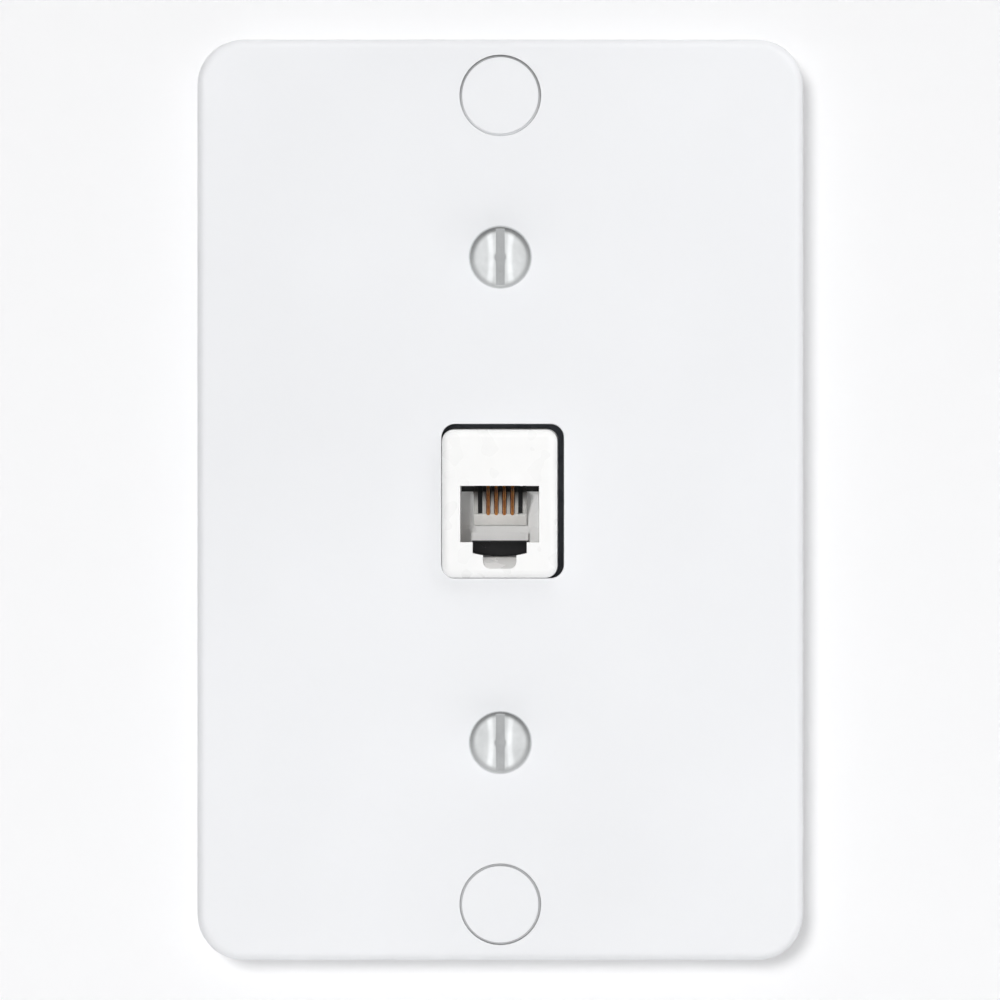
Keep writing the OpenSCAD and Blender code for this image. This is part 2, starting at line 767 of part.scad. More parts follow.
module base_screw(side) {
    length = bracket_t + base_t + base_boss_h;
    color("darkgray") on_wall() translate([side * base_screw_spacing / 2, jack_y, 0]) {
        translate([0, 0, bracket_t - length]) cylinder(d = base_screw_d, h = length);
        translate([0, 0, bracket_t]) {
            slotted_head(base_screw_head_d, base_screw_head_h / 2, screw_edge_r, base_screw_head_h / 2,
                         screw_slot_w, base_screw_head_h / 2);
        }
    }
}

// Places a child on a terminal, with Z as the depth behind the wall.
module at_terminal(i) {
    behind_wall() translate([terminal_x(i), terminal_y(i), 0]) children();
}

module terminal_screw(i) {
    color("khaki") at_terminal(i) {
        translate([0, 0, post_top - screw_reach + screw_gap]) {
            cylinder(d = screw_shank_d, h = head_base - post_top + screw_reach - screw_gap);
        }
        translate([0, 0, head_base]) rotate([0, 0, SLOT_TURNS[i]]) {
            slotted_head(screw_head_d, screw_head_h / 2, screw_edge_r, screw_head_h / 2,
                         screw_slot_w, screw_slot_depth);
        }
    }
}

module clamp_washer(i) {
    color("silver") at_terminal(i) translate([0, 0, washer_base]) difference() {
        cylinder(d = washer_d, h = washer_t);
        translate([0, 0, -cut]) cylinder(d = screw_shank_d + 2 * screw_gap, h = washer_t + 2 * cut);
    }
}

// Where lead i starts in the wire chamber, and how it lies to its terminal.
function lead_x(i) = (i - 1.5) * contact_pitch;
function lead_y(i) = run_y + (i % 2 == 1 ? contact_row_rise : 0);
function lead_angle(i) = atan2(terminal_y(i) - lead_y(i), terminal_x(i) - lead_x(i));
function lead_reach(i) = norm([terminal_y(i) - lead_y(i), terminal_x(i) - lead_x(i)]);

module spade_lug(i) {
    shank = screw_shank_d + 2 * screw_gap;
    color("lightsteelblue") at_terminal(i) rotate([0, 0, lead_angle(i)]) {
        difference() {
            union() {
                translate([0, 0, post_top]) linear_extrude(lug_t) {
                    difference() {
                        union() {
                            circle(d = lug_w);
                            translate([0, -lug_w / 2]) square([lug_tine, lug_w]);
                            translate([-lug_neck - lug_barrel_length, -barrel_r]) {
                                square([lug_neck + lug_barrel_length, 2 * barrel_r]);
                            }
                        }
                        circle(d = shank);
                        translate([0, -shank / 2]) square([lug_tine + cut, shank]);
                    }
                }
                translate([-lug_neck, 0, barrel_axis]) rotate([0, -90, 0]) {
                    cylinder(r = barrel_r, h = lug_barrel_length);
                }
            }
            translate([-lug_neck + cut, 0, barrel_axis]) rotate([0, -90, 0]) {
                cylinder(r = lead_d / 2 + lug_gap, h = lug_barrel_length + 2 * cut);
            }
        }
    }
}

module lead(i) {
    straight = barrel_axis + lead_start - lead_bend_r;
    run = lead_reach(i) - lug_neck - lug_gap - lead_bend_r;
    color(LEAD_COLOURS[i]) behind_wall() translate([lead_x(i), lead_y(i), -lead_start]) {
        rotate([0, 0, lead_angle(i)]) rotate([-90, 0, 0]) rotate([0, 0, -90]) {
            bent_rod(lead_d, [[straight, 90, lead_bend_r], [run, 0, 0]], $fn = 32);
        }
    }
}

faceplate();
screw_cap(1);  // screw_cap_top
screw_cap(-1);  // screw_cap_bottom
mounting_bracket();
stud(1);  // stud_top
stud(-1);  // stud_bottom
jack_housing();
contact_comb();
terminal_base();
base_screw(-1);  // base_screw_left
base_screw(1);  // base_screw_right
for (i = [0 : 3]) {
    contact_wire(i + 1);
    terminal_screw(i);
    clamp_washer(i);
    spade_lug(i);
    lead(i);
}
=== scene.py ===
import json
import math

import bpy
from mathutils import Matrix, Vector

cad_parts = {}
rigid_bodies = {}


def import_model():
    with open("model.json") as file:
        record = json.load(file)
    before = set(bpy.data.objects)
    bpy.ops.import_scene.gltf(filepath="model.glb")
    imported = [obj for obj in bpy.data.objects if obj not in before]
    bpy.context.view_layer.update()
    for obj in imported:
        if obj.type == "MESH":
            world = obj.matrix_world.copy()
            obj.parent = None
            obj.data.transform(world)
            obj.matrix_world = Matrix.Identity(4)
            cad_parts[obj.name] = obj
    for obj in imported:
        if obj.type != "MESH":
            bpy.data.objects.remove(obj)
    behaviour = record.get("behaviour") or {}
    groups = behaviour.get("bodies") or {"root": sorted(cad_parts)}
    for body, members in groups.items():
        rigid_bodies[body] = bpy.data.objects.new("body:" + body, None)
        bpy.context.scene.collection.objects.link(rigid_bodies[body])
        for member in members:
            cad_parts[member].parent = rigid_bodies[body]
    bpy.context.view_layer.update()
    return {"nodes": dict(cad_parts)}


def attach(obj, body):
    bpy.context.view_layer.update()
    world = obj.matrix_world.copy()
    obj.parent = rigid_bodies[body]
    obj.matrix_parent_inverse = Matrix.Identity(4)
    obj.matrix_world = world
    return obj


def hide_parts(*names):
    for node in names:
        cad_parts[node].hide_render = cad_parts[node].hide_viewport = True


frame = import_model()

# Camera. It stands square in front of the faceplate, far enough away that the
# plate's sides can't be seen, and its picture is a square 125.6 mm wide at the
# plate's front.
PLATE_FRONT = -0.0064
CAMERA_GAP = 0.75
CAMERA_X, CAMERA_Z = -0.00004, -0.00002
PICTURE_W = 0.1256
SENSOR_W = 36

bpy.ops.object.camera_add(location=(CAMERA_X, PLATE_FRONT - CAMERA_GAP, CAMERA_Z),
                          rotation=(math.radians(90), 0, 0))
camera = bpy.context.object
camera.data.sensor_width = SENSOR_W
camera.data.lens = SENSOR_W * CAMERA_GAP / PICTURE_W
bpy.context.scene.camera = camera
bpy.context.scene.view_settings.view_transform = "Standard"


# Wall, floor and light. The wall is a white board that the socket is fixed to,
# open behind the plate as a wall box is, and can be seen through from behind.
# The floor is the same board. Both glow a little where they are seen, to be white.
def linear(text):
    """An sRGB colour written as #rrggbb, as linear red, green, blue and alpha."""
    parts = [int(text[i : i + 2], 16) / 255 for i in (1, 3, 5)]
    return [p / 12.92 if p <= 0.04045 else ((p + 0.055) / 1.055) ** 2.4 for p in parts] + [1]


def add_node(tree, kind, values={}, links={}, **settings):
    """Adds one shader node: its settings, the values of its sockets and its links."""
    made = tree.nodes.new("ShaderNode" + kind)
    for name, value in settings.items():
        setattr(made, name, value)
    for name, value in values.items():
        made.inputs[name].default_value = value
    for name, source in links.items():
        tree.links.new(source, made.inputs[name])
    return made


def deselect():
    """Leaves nothing selected, so that the next operator acts on the new piece alone."""
    if bpy.context.object and bpy.context.object.mode != "OBJECT":
        bpy.ops.object.mode_set(mode="OBJECT")
    bpy.ops.object.select_all(action="DESELECT")


WALL_Y = 0.0002
BOX_OPENING = (0.0756, 0.1152)
BOX_CORNER_R = 0.0055
BOARD_SCALE = 50
BOARD_GLOW = 0.27
FLOOR_Z = -0.30
FLOOR_W = 4

board = bpy.data.materials.new("matt white paint")
board.use_nodes = True
tree = board.node_tree
tree.nodes.clear()
ray = add_node(tree, "LightPath")
seen = add_node(tree, "Math", operation="ADD", use_clamp=True,
                links={0: ray.outputs["Is Camera Ray"], 1: ray.outputs["Is Glossy Ray"]})
seen = add_node(tree, "Math", operation="ADD", use_clamp=True,
                links={0: seen.outputs[0], 1: ray.outputs["Is Transmission Ray"]})
lift = add_node(tree, "Math", operation="MULTIPLY", links={0: seen.outputs[0]},
                values={1: BOARD_GLOW})
paint = add_node(tree, "BsdfDiffuse", values={"Color": linear("#e7e7e8")})
glow = add_node(tree, "Emission", links={"Strength": lift.outputs[0]})
both = add_node(tree, "AddShader", links={0: paint.outputs[0], 1: glow.outputs[0]})
side = add_node(tree, "NewGeometry")
clear = add_node(tree, "BsdfTransparent")
mixed = add_node(tree, "MixShader",
                 links={0: side.outputs["Backfacing"], 1: both.outputs[0], 2: clear.outputs[0]})
add_node(tree, "OutputMaterial", links={"Surface": mixed.outputs[0]})

# The opening is drawn first, with the plate's rounded corners a little inside
# the plate's own, and the board is stretched outwards from its rim.
deselect()
bpy.ops.mesh.primitive_plane_add(size=1, location=(0, WALL_Y, 0),
                                 rotation=(math.radians(90), 0, 0))
wall = bpy.context.object
wall.name = "wall"
wall.scale = (*BOX_OPENING, 1)
bpy.ops.object.transform_apply(location=True, rotation=True, scale=True)
bpy.ops.object.mode_set(mode="EDIT")
bpy.ops.mesh.select_all(action="SELECT")
bpy.ops.mesh.bevel(offset=BOX_CORNER_R, segments=8, affect="VERTICES")
bpy.ops.mesh.delete(type="ONLY_FACE")
bpy.ops.mesh.select_all(action="SELECT")
bpy.ops.mesh.extrude_region_move()
bpy.ops.transform.resize(value=(BOARD_SCALE, 1, BOARD_SCALE), center_override=(0, 0, 0))
bpy.ops.mesh.select_all(action="SELECT")
bpy.ops.mesh.flip_normals()
bpy.ops.object.mode_set(mode="OBJECT")
wall.data.materials.append(board)

deselect()
bpy.ops.mesh.primitive_plane_add(size=FLOOR_W, location=(0, 0, FLOOR_Z))
floor = bpy.context.object
floor.name = "floor"
floor.visible_glossy = False
floor.data.materials.append(board)

# The room gives a dim light, a little stronger from above. What polished metal
# mirrors is drawn apart from it: a room that is grey straight ahead and white
# round that, with a bright window on each side, and dimmer behind the wall.
WINDOW_AT, WINDOW_HALF_W = 0.40, 0.10

world = bpy.data.worlds.new("studio")
bpy.context.scene.world = world
world.use_nodes = True
tree = world.node_tree
tree.nodes.clear()
ray = add_node(tree, "LightPath")
direction = add_node(tree, "TexCoord")
parts = add_node(tree, "SeparateXYZ", links={0: direction.outputs["Generated"]})
overhead_glow = add_node(tree, "MapRange", links={"Value": parts.outputs["Z"]},
                         values={"From Min": -0.3, "From Max": 0.8, "To Min": 0.08,
                                 "To Max": 0.26})
rim_tone = add_node(tree, "MapRange", links={"Value": parts.outputs["Z"]},
                    values={"From Min": -0.9, "From Max": 0.9, "To Min": 0.7, "To Max": 0.27})
front_tone = add_node(tree, "MapRange", links={"Value": parts.outputs["Y"]},
                      interpolation_type="SMOOTHSTEP",
                      values={"From Min": -0.995, "From Max": -0.955, "To Min": 0.62,
                              "To Max": 1.05})
beside = add_node(tree, "Math", operation="ABSOLUTE", links={0: parts.outputs["X"]})
beside = add_node(tree, "Math", operation="COMPARE", links={0: beside.outputs[0]},
                  values={1: WINDOW_AT, 2: WINDOW_HALF_W})
window_tone = add_node(tree, "Math", operation="MULTIPLY_ADD", values={1: 0.4},
                       links={0: beside.outputs[0], 2: front_tone.outputs[0]})
in_front = add_node(tree, "MapRange", links={"Value": parts.outputs["Y"]},
                    interpolation_type="SMOOTHSTEP",
                    values={"From Min": -0.2, "From Max": -0.42})
mirrored = add_node(tree, "Mix", data_type="FLOAT",
                    links={0: in_front.outputs[0], 2: rim_tone.outputs[0],
                           3: window_tone.outputs[0]})
clear_view = add_node(tree, "Math", operation="ADD", use_clamp=True,
                      links={0: ray.outputs["Is Camera Ray"],
                             1: ray.outputs["Is Transmission Ray"]})
light = add_node(tree, "Mix", data_type="FLOAT",
                 links={0: ray.outputs["Is Glossy Ray"], 2: overhead_glow.outputs[0],
                        3: mirrored.outputs[0]})
strength = add_node(tree, "Mix", data_type="FLOAT", values={3: 1.0},
                    links={0: clear_view.outputs[0], 2: light.outputs[0]})
sky = add_node(tree, "Background", values={"Color": (1, 1, 1, 1)},
               links={"Strength": strength.outputs[0]})
add_node(tree, "OutputWorld", links={"Surface": sky.outputs[0]})


def soft_lamp(name, place, size, watts):
    """A rectangular soft box that points at the socket."""
    deselect()
    aim = (-Vector(place)).to_track_quat("-Z", "Y").to_euler()
    bpy.ops.object.light_add(type="AREA", location=place, rotation=aim)
    lamp = bpy.context.object
    lamp.name = name
    lamp.data.shape = "RECTANGLE"
    lamp.data.size, lamp.data.size_y = size
    lamp.data.energy = watts
    return lamp


def far_lamp(name, elevation, azimuth, spread, watts):
    """A lamp so far off that its shadows run straight, with its angles in degrees."""
    deselect()
    bpy.ops.object.light_add(type="SUN",
                             rotation=(math.radians(90 - elevation), 0, math.radians(azimuth)))
    lamp = bpy.context.object
    lamp.name = name
    lamp.data.angle = math.radians(spread)
    lamp.data.energy = watts
    return lamp


# Soft boxes above, to the right and below light the front, and one lights the
# back. The key light comes from the front, a little from the left and above.
right_box = soft_lamp("right_soft_box", (0.62, -0.42, 0.34), (0.40, 0.60), 1.3)
overhead = soft_lamp("overhead_soft_box", (0.06, -0.30, 0.62), (0.80, 0.45), 1.5)
low_box = soft_lamp("low_soft_box", (0.0, -0.50, -0.24), (0.40, 0.10), 0.5)
soft_lamp("back_soft_box", (-0.25, 0.80, 0.40), (0.50, 0.50), 4.0)
key_light = far_lamp("key_light", 5, -8.5, 6, 1.12)

# The wall has a lamp of its own, a little higher, whose shadow of the plate
# falls to the right and below as in the photograph.
wall_lamp = far_lamp("wall_lamp", 14, -14, 18, 1.75)
only_wall = bpy.data.collections.new("only_wall")
only_wall.objects.link(wall)
wall_lamp.light_linking.receiver_collection = only_wall
not_wall = bpy.data.collections.new("not_wall")
not_wall.objects.link(wall)
not_wall.collection_objects[0].light_linking.link_state = "EXCLUDE"
for lamp in (right_box, overhead, low_box, key_light):
    lamp.light_linking.receiver_collection = not_wall
    lamp.visible_glossy = False


# Faceplate. One injection moulding in white ABS, with ribs and posts behind. It
# comes out of a polished mould, which pushes it off with round ejector pins. Only
# the edges of its front are rounded.
MM = 0.001
EJECTOR_PINS = [(x, z) for x in (-32, 32) for z in (-48, -16, 16, 48)]
EJECTOR_R = 2.0
EJECTOR_DIP = 0.12
PIN_L = 1.12
PLATE_INSIDE = -4.2
FRONT_EDGE_R = 0.15
IN_FRONT = 0.0001
SAME_POINT = 0.000002
SOFT_ANGLE = math.radians(35)


def copy_of(name, node):
    """A new object with the mesh of a CAD node, its loose triangles merged into faces."""
    deselect()
    piece = bpy.data.objects.new(name, frame["nodes"][node].data.copy())
    bpy.context.scene.collection.objects.link(piece)
    piece.select_set(True)
    bpy.context.view_layer.objects.active = piece
    piece.data.materials.clear()
    bpy.ops.object.mode_set(mode="EDIT")
    bpy.ops.mesh.select_all(action="SELECT")
    bpy.ops.mesh.remove_doubles(threshold=SAME_POINT)
    bpy.ops.mesh.dissolve_limited(angle_limit=math.radians(1))
    bpy.ops.object.mode_set(mode="OBJECT")
    return piece


def apply_to(piece, kind, **settings):
    """Adds a modifier to a piece, sets it and applies it."""
    deselect()
    piece.select_set(True)
    bpy.context.view_layer.objects.active = piece
    change = piece.modifiers.new("change", kind)
    for name, value in settings.items():
        setattr(change, name, value)
    bpy.ops.object.modifier_apply(modifier="change")


def carve(piece, cutter):
    """Cuts a shape out of a piece and throws the shape away."""
    apply_to(piece, "BOOLEAN", operation="DIFFERENCE", solver="EXACT", object=cutter)
    bpy.data.objects.remove(cutter)


def smooth(piece):
    """Smooths a piece over its soft edges, and keeps its flat faces flat."""
    bpy.ops.object.shade_smooth_by_angle(angle=SOFT_ANGLE)
    apply_to(piece, "WEIGHTED_NORMAL", keep_sharp=True, weight=100)


def round_edges(piece, width, segments=2, angle=35):
    """Rounds the edges that turn by more than an angle, and smooths the faces that meet softly.

    The width is in millimetres and the angle in degrees.
    """
    apply_to(piece, "BEVEL", width=width * MM, segments=segments, limit_method="ANGLE",
             angle_limit=math.radians(angle), use_clamp_overlap=True, miter_outer="MITER_ARC")
    smooth(piece)


def stand_for(piece, node, finish):
    """Gives a piece its finish and puts it in the place of a CAD node."""
    piece.data.materials.clear()
    piece.data.materials.append(finish)
    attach(piece, "root")
    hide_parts(node)


def start_material(name, **values):
    """A new material with the given values on its shader's sockets.

    Returns it, its tree, its shader and the object's own coordinates, in metres.
    """
    made = bpy.data.materials.new(name)
    made.use_nodes = True
    tree = made.node_tree
    shader = tree.nodes["Principled BSDF"]
    for socket, value in values.items():
        shader.inputs[socket.replace("_", " ")].default_value = value
    return made, tree, shader, add_node(tree, "TexCoord").outputs["Object"]


# Satin white with a hint of blue. Its grain, really 0.05 mm, is drawn eight times
# as coarse so that it shows; the waves are the 20 mm sinks of cooling plastic.
# Grey painted shade darkens the grooves round the screw caps, more with depth: all round the
# lower one, and towards the top of the upper one.
CAP_Z = 50.8
CAP_RING_R, CAP_RING_HALF_W = 4.95, 0.4
SHADE_TOP, SHADE_BOTTOM = 0.01, 0.12
UPPER_SHADE, LOWER_SHADE = 0.75, 0.55

abs_white, tree, shader, place = start_material("moulded white ABS", IOR=1.53)
clouds = add_node(tree, "TexNoise", values={"Scale": 1 / 0.045, "Detail": 2},
                  links={"Vector": place})
tint = add_node(tree, "ValToRGB", links={"Fac": clouds.outputs[0]})
darker, paler = tint.color_ramp.elements
darker.position, darker.color = 0.35, linear("#eff0f2")
paler.position, paler.color = 0.65, linear("#f3f4f6")
parts = add_node(tree, "SeparateXYZ", links={0: place})
from_middle = add_node(tree, "Math", operation="ABSOLUTE", links={0: parts.outputs["Z"]})
from_cap = add_node(tree, "Math", operation="SUBTRACT", links={0: from_middle.outputs[0]},
                    values={1: CAP_Z * MM})
flat = add_node(tree, "CombineXYZ", links={"X": parts.outputs["X"], "Z": from_cap.outputs[0]})
reach = add_node(tree, "VectorMath", operation="LENGTH", links={0: flat.outputs[0]})
in_ring = add_node(tree, "Math", operation="COMPARE", links={0: reach.outputs["Value"]},
                   values={1: CAP_RING_R * MM, 2: CAP_RING_HALF_W * MM})
depth = add_node(tree, "MapRange", links={"Value": parts.outputs["Y"]},
                 values={"From Min": PLATE_FRONT + SHADE_TOP * MM,
                         "From Max": PLATE_FRONT + SHADE_BOTTOM * MM})
upper = add_node(tree, "MapRange", links={"Value": parts.outputs["Z"]},
                 values={"From Min": (CAP_Z - 5) * MM, "From Max": (CAP_Z + 1) * MM,
                         "To Max": UPPER_SHADE})
lower = add_node(tree, "Math", operation="LESS_THAN", links={0: parts.outputs["Z"]},
                 values={1: 0.0})
lower = add_node(tree, "Math", operation="MULTIPLY", links={0: lower.outputs[0]},
                 values={1: LOWER_SHADE})
cap_shade_mask = add_node(tree, "Math", operation="MAXIMUM",
                  links={0: upper.outputs[0], 1: lower.outputs[0]})
cap_shade_mask = add_node(tree, "Math", operation="MULTIPLY",
                  links={0: cap_shade_mask.outputs[0], 1: depth.outputs[0]})
cap_shade_mask = add_node(tree, "Math", operation="MULTIPLY",
                  links={0: cap_shade_mask.outputs[0], 1: in_ring.outputs[0]})
# The grey mixed in here is painted shade in the cap grooves.
shaded = add_node(tree, "Mix", data_type="RGBA",
                  links={0: cap_shade_mask.outputs[0], 6: tint.outputs[0]},
                  values={7: linear("#a4a4a6")})
tree.links.new(shaded.outputs[2], shader.inputs["Base Color"])
grain = add_node(tree, "TexNoise", values={"Scale": 1 / 0.0004, "Detail": 3},
                 links={"Vector": place})
sheen = add_node(tree, "MapRange", links={"Value": grain.outputs[0]},
                 values={"To Min": 0.34, "To Max": 0.46})
tree.links.new(sheen.outputs[0], shader.inputs["Roughness"])
waves = add_node(tree, "TexNoise", values={"Scale": 1 / 0.018, "Detail": 1},
                 links={"Vector": place})
broad = add_node(tree, "Bump", values={"Strength": 0.25, "Distance": 0.0004},
                 links={"Height": waves.outputs[0]})
fine = add_node(tree, "Bump", values={"Strength": 0.05, "Distance": 0.00005},
                links={"Height": grain.outputs[0], "Normal": broad.outputs[0]})
tree.links.new(fine.outputs[0], shader.inputs["Normal"])

faceplate = copy_of("faceplate_moulding", "faceplate")
deselect()
for x, z in EJECTOR_PINS:
    bpy.ops.mesh.primitive_cylinder_add(
        vertices=32, radius=EJECTOR_R * MM, depth=PIN_L * MM, rotation=(math.radians(90), 0, 0),
        location=(x * MM, (PLATE_INSIDE - EJECTOR_DIP + PIN_L / 2) * MM, z * MM))
for pin in bpy.data.objects:
    pin.select_set(pin.name.startswith("Cylinder"))
bpy.ops.object.join()
carve(faceplate, bpy.context.object)

bpy.ops.object.mode_set(mode="EDIT")
bpy.ops.mesh.select_mode(type="EDGE")
bpy.ops.mesh.select_all(action="DESELECT")
bpy.ops.mesh.edges_select_sharp(sharpness=SOFT_ANGLE)
bpy.ops.object.mode_set(mode="OBJECT")
for edge in faceplate.data.edges:
    if max(faceplate.data.vertices[end].co.y for end in edge.vertices) > PLATE_FRONT + IN_FRONT:
        edge.select = False
bpy.ops.object.mode_set(mode="EDIT")
bpy.ops.mesh.bevel(offset=FRONT_EDGE_R * MM, segments=3, affect="EDGES", clamp_overlap=True)
bpy.ops.mesh.select_mode(type="VERT")
bpy.ops.object.mode_set(mode="OBJECT")
smooth(faceplate)
stand_for(faceplate, "faceplate", abs_white)

# Screw caps. Two small round covers moulded in the same white ABS, pushed into
# their holes until four spring legs snap behind a ledge.
for end in ("top", "bottom"):
    cap = copy_of("screw_cap_moulding_" + end, "screw_cap_" + end)
    round_edges(cap, 0.3, 4)
    stand_for(cap, "screw_cap_" + end, abs_white)

# Mounting bracket. A strap stamped from 1.2 mm steel sheet, zinc plated and
# black chromated, screwed to the wall box. Dark, with a faint spangle.
zinc_black, tree, shader, place = start_material("black-chromated zinc", Metallic=1.0)
spangle = add_node(tree, "TexVoronoi", values={"Scale": 1 / 0.0022}, links={"Vector": place})
tint = add_node(tree, "ValToRGB", links={"Fac": spangle.outputs["Color"]})
darker, paler = tint.color_ramp.elements
darker.color, paler.color = linear("#54575c"), linear("#6a6d72")
tree.links.new(tint.outputs[0], shader.inputs["Base Color"])
rub = add_node(tree, "TexNoise", values={"Scale": 1 / 0.0015, "Detail": 5},
               links={"Vector": place})
sheen = add_node(tree, "MapRange", links={"Value": rub.outputs[0]},
                 values={"To Min": 0.34, "To Max": 0.58})
tree.links.new(sheen.outputs[0], shader.inputs["Roughness"])
scratch = add_node(tree, "Bump", values={"Strength": 0.12, "Distance": 0.00005},
                   links={"Height": rub.outputs[0]})
tree.links.new(scratch.outputs[0], shader.inputs["Normal"])

bracket = copy_of("bracket_stamping", "mounting_bracket")
round_edges(bracket, 0.1)
stand_for(bracket, "mounting_bracket", zinc_black)


# Hanging studs. Two steel studs turned on a lathe and nickel plated, with a slot
# across the domed head, screwed through the plate into the bracket's burred
# holes. The telephone's keyholes hook over them.
STUD_Z = 30.35
STUD_TOP = 11.5
STUD_SLOT_W, STUD_SLOT_DEPTH = 1.1, 1.3
THREAD_PITCH = 0.7
THREAD_DEPTH = 0.38
THREAD_CREST = 0.04


def turned(name, outline, x=0, z=0, steps=64):
    """A piece turned on a lathe, with its axis at x and z.

    The outline's points are radius and height out of the wall, in millimetres.
    """
    deselect()
    bpy.ops.mesh.primitive_plane_add(size=MM)
    piece = bpy.context.object
    piece.name = name
    bpy.ops.object.mode_set(mode="EDIT")
    bpy.ops.mesh.select_all(action="SELECT")
    bpy.ops.mesh.merge(type="CENTER")
    last = Vector((0, 0, 0))
    for number, (radius, height) in enumerate(outline):
        point = Vector((radius * MM, -height * MM, 0))
        if number == 0:
            bpy.ops.transform.translate(value=point - last)
        else:
            bpy.ops.mesh.extrude_region_move(TRANSFORM_OT_translate={"value": point - last})
        last = point
    bpy.ops.mesh.select_all(action="SELECT")
    bpy.ops.mesh.spin(steps=steps, angle=math.radians(360), center=(0, 0, 0), axis=(0, 1, 0))
    bpy.ops.mesh.select_all(action="SELECT")
    bpy.ops.mesh.remove_doubles(threshold=SAME_POINT)
    bpy.ops.mesh.normals_make_consistent(inside=False)
    bpy.ops.transform.translate(value=(x * MM, 0, z * MM))
    bpy.ops.object.mode_set(mode="OBJECT")
    return piece


def arc(radius, height, bend, start, end, steps):
    """Points of a bend in a turned outline, between two angles from straight outwards."""
    angles = [math.radians(start + (end - start) * i / steps) for i in range(steps + 1)]
    return [(radius + bend * math.cos(a), height + bend * math.sin(a)) for a in angles]


def thread(radius, low, high):
    """The ridges of a screw thread in a turned outline, between two heights."""
    turns = int(abs(high - low) / THREAD_PITCH)
    step = (high - low) / turns
    points = []
    for turn in range(turns):
        points += [(radius - THREAD_DEPTH, low + turn * step),
                   (radius - THREAD_CREST, low + (turn + 0.42) * step),
                   (radius - THREAD_CREST, low + (turn + 0.58) * step)]
    return points + [(radius - THREAD_DEPTH, high)]


def cut_slot(piece, place, size, turn=0):
    """Cuts a screwdriver slot across a head, turned by an angle in degrees.

    The cutter's middle and its width, depth and length are in millimetres.
    """
    deselect()
    bpy.ops.mesh.primitive_cube_add(size=1, location=[p * MM for p in place],
                                    rotation=(0, math.radians(-turn), 0))
    cutter = bpy.context.object
    cutter.scale = [s * MM for s in size]
    carve(piece, cutter)


# Bright grey with fine rings, which the lathe's tool leaves about 0.1 mm apart
# round each stud; the rings catch the light as thin arcs.
nickel, tree, shader, place = start_material("nickel-plated turned steel", Metallic=1.0)
parts = add_node(tree, "SeparateXYZ", links={0: place})
height = add_node(tree, "Math", operation="ABSOLUTE", links={0: parts.outputs["Z"]})
height = add_node(tree, "Math", operation="SUBTRACT", links={0: height.outputs[0]},
                  values={1: STUD_Z * MM})
flat = add_node(tree, "CombineXYZ", links={"X": parts.outputs["X"], "Z": height.outputs[0]})
reach = add_node(tree, "VectorMath", operation="LENGTH", links={0: flat.outputs[0]})
rings = add_node(tree, "TexNoise", noise_dimensions="1D",
                 values={"Scale": 1 / 0.0001, "Detail": 2},
                 links={"W": reach.outputs["Value"]})
stain = add_node(tree, "TexNoise", values={"Scale": 1 / 0.002, "Detail": 3},
                 links={"Vector": place})
tint = add_node(tree, "ValToRGB", links={"Fac": stain.outputs[0]})
darker, paler = tint.color_ramp.elements
darker.position, darker.color = 0.3, linear("#cfd1d2")
paler.position, paler.color = 0.7, linear("#dbddde")
tree.links.new(tint.outputs[0], shader.inputs["Base Color"])
sheen = add_node(tree, "MapRange", links={"Value": rings.outputs[0]},
                 values={"To Min": 0.1, "To Max": 0.22})
tree.links.new(sheen.outputs[0], shader.inputs["Roughness"])
lines = add_node(tree, "Bump", values={"Strength": 0.1, "Distance": 0.00002},
                 links={"Height": rings.outputs[0]})
tree.links.new(lines.outputs[0], shader.inputs["Normal"])

# From the tip of the thread to the collar, the neck and the dome of the head.
stud_outline = (
    [(0, -2.2), (1.35, -2.2)] + thread(2.0, -1.9, 5.1) + [(1.9, 5.3), (1.9, 6.4), (3.3, 6.4)]
    + arc(3.35, 6.55, 0.15, -60, 0, 3) + arc(3.35, 6.65, 0.15, 0, 90, 4)
    + [(2.7, 6.8), (2.5, 6.86), (2.4, 7.0), (2.4, 9.0), (2.48, 9.16), (2.6, 9.2), (3.8, 9.2)]
    + arc(3.8, 9.35, 0.15, -60, 0, 3) + arc(3.85, 9.8, 0.1, 0, 45, 3)
    + arc(0, 5.88, 5.6, 45.8, 90, 16)
)

# The lamps in front cast no shadow of the studs, as a bright room leaves almost
# none round them.
not_studs = bpy.data.collections.new("not_studs")
for end, z in (("top", STUD_Z), ("bottom", -STUD_Z)):
    stud = turned("hanging_stud_" + end, stud_outline, 0, z)
    cut_slot(stud, (0, -STUD_TOP, z), (STUD_SLOT_W, 2 * STUD_SLOT_DEPTH, 10))
    round_edges(stud, 0.1, 3)
    stand_for(stud, "stud_" + end, nickel)
    not_studs.objects.link(stud)
for member in not_studs.collection_objects:
    member.light_linking.link_state = "EXCLUDE"
for lamp in (right_box, overhead, low_box, key_light):
    lamp.light_linking.blocker_collection = not_studs

# Socket body. One moulding in glossy white polycarbonate, pushed through the
# bracket from behind, with a groove under the roof in which the wires can bend.
# It has a little play in the plate's window and sits down and to the left in it.
SOCKET_PLAY = 0.08
OPENING_W = 9.9
ROOF_Z = 1.85
GROOVE_H = 0.8
SOCKET_GROOVE = (1.9, 6.0)


def cut_groove(piece, front, back):
    """Cuts the groove under the socket's roof, between two depths from the wall's face."""
    deselect()
    middle = (0, (front + back) / 2 * MM, (ROOF_Z - GROOVE_H / 2) * MM)
    bpy.ops.mesh.primitive_cube_add(size=1, location=middle)
    cutter = bpy.context.object
    cutter.scale = (OPENING_W * MM, (back - front) * MM, GROOVE_H * MM)
    carve(piece, cutter)
